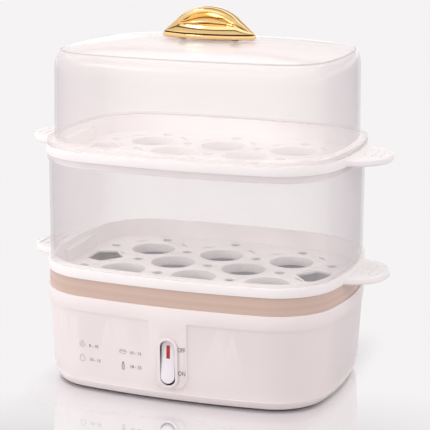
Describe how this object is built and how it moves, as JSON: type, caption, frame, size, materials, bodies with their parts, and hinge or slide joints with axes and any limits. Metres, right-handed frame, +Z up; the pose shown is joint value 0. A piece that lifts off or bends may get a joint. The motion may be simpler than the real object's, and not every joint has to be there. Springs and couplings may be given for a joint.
{
  "type": "egg boiler",
  "caption": "Two-tier electric egg steamer: heated base with a rocker switch, stacked perforated egg trays, a clear tier wall and a clear domed lid with a gold handle.",
  "frame": {"origin": "on the table, under the middle of the object's bounding box", "axes": "+Z up, X along the long side through both pairs of tray handles, the switch faces -Y"},
  "size_m": [0.308, 0.1887, 0.306],
  "materials": {
    "housing": "smooth gloss moulding",
    "band": "satin beige moulding",
    "cover": "matte moulding",
    "rubber": "soft matte",
    "steel": "zinc plated",
    "pan": "satin",
    "silicone": "soft matte",
    "cast_heater": "as cast",
    "black_plastic": "matte",
    "fuse": "ceramic-like sleeve",
    "terminal_plastic": "matte",
    "brass": "plain",
    "bezel": "smooth moulding",
    "gland": "soft matte",
    "rocker": "gloss",
    "lens": "clear red",
    "tray": "smooth moulding",
    "clear": "lightly frosted, see-through",
    "gold": "gold plated"
  },
  "bodies": {
    "base": {"base_housing": "housing", "trim_band": "band", "bottom_cover": "cover", "rubber_feet": "rubber", "cover_screws": "steel", "water_pan": "pan", "pan_gasket": "silicone", "pan_nuts": "steel", "heating_element": "cast_heater", "heater_clamp": "steel", "clamp_nut": "steel", "thermostat": "black_plastic", "thermal_fuse": "fuse", "terminal_block": "terminal_plastic", "block_screws": "brass", "switch_bezel": "bezel", "switch_body": "black_plastic", "switch_terminals": "brass", "cord_gland": "gland"},
    "rocker": {"rocker_button": "rocker", "indicator_lens": "lens"},
    "lower_tray": {"lower_tray": "tray"},
    "lower_wall": {"chamber_wall": "clear"},
    "upper_tray": {"upper_tray": "tray"},
    "lid": {"lid": "clear", "lid_handle_base": "gold", "lid_handle": "gold", "lid_screws": "steel"}
  },
  "joints": [
    {"name": "switch_rocker", "type": "hinge", "parent": "base", "child": "rocker", "pos_m": [0, -0.0861, 0.03474], "axis": [1, 0, 0], "range_deg": [0, 14]},
    {"name": "lower_tray_lift", "type": "slide", "parent": "base", "child": "lower_tray", "axis": [0, 0, 1], "range_m": [0, 0.06]},
    {"name": "tier_wall_lift", "type": "slide", "parent": "lower_tray", "child": "lower_wall", "axis": [0, 0, 1], "range_m": [0, 0.06]},
    {"name": "upper_tray_lift", "type": "slide", "parent": "lower_wall", "child": "upper_tray", "axis": [0, 0, 1], "range_m": [0, 0.06]},
    {"name": "lid_lift", "type": "slide", "parent": "upper_tray", "child": "lid", "axis": [0, 0, 1], "range_m": [0, 0.1]}
  ]
}
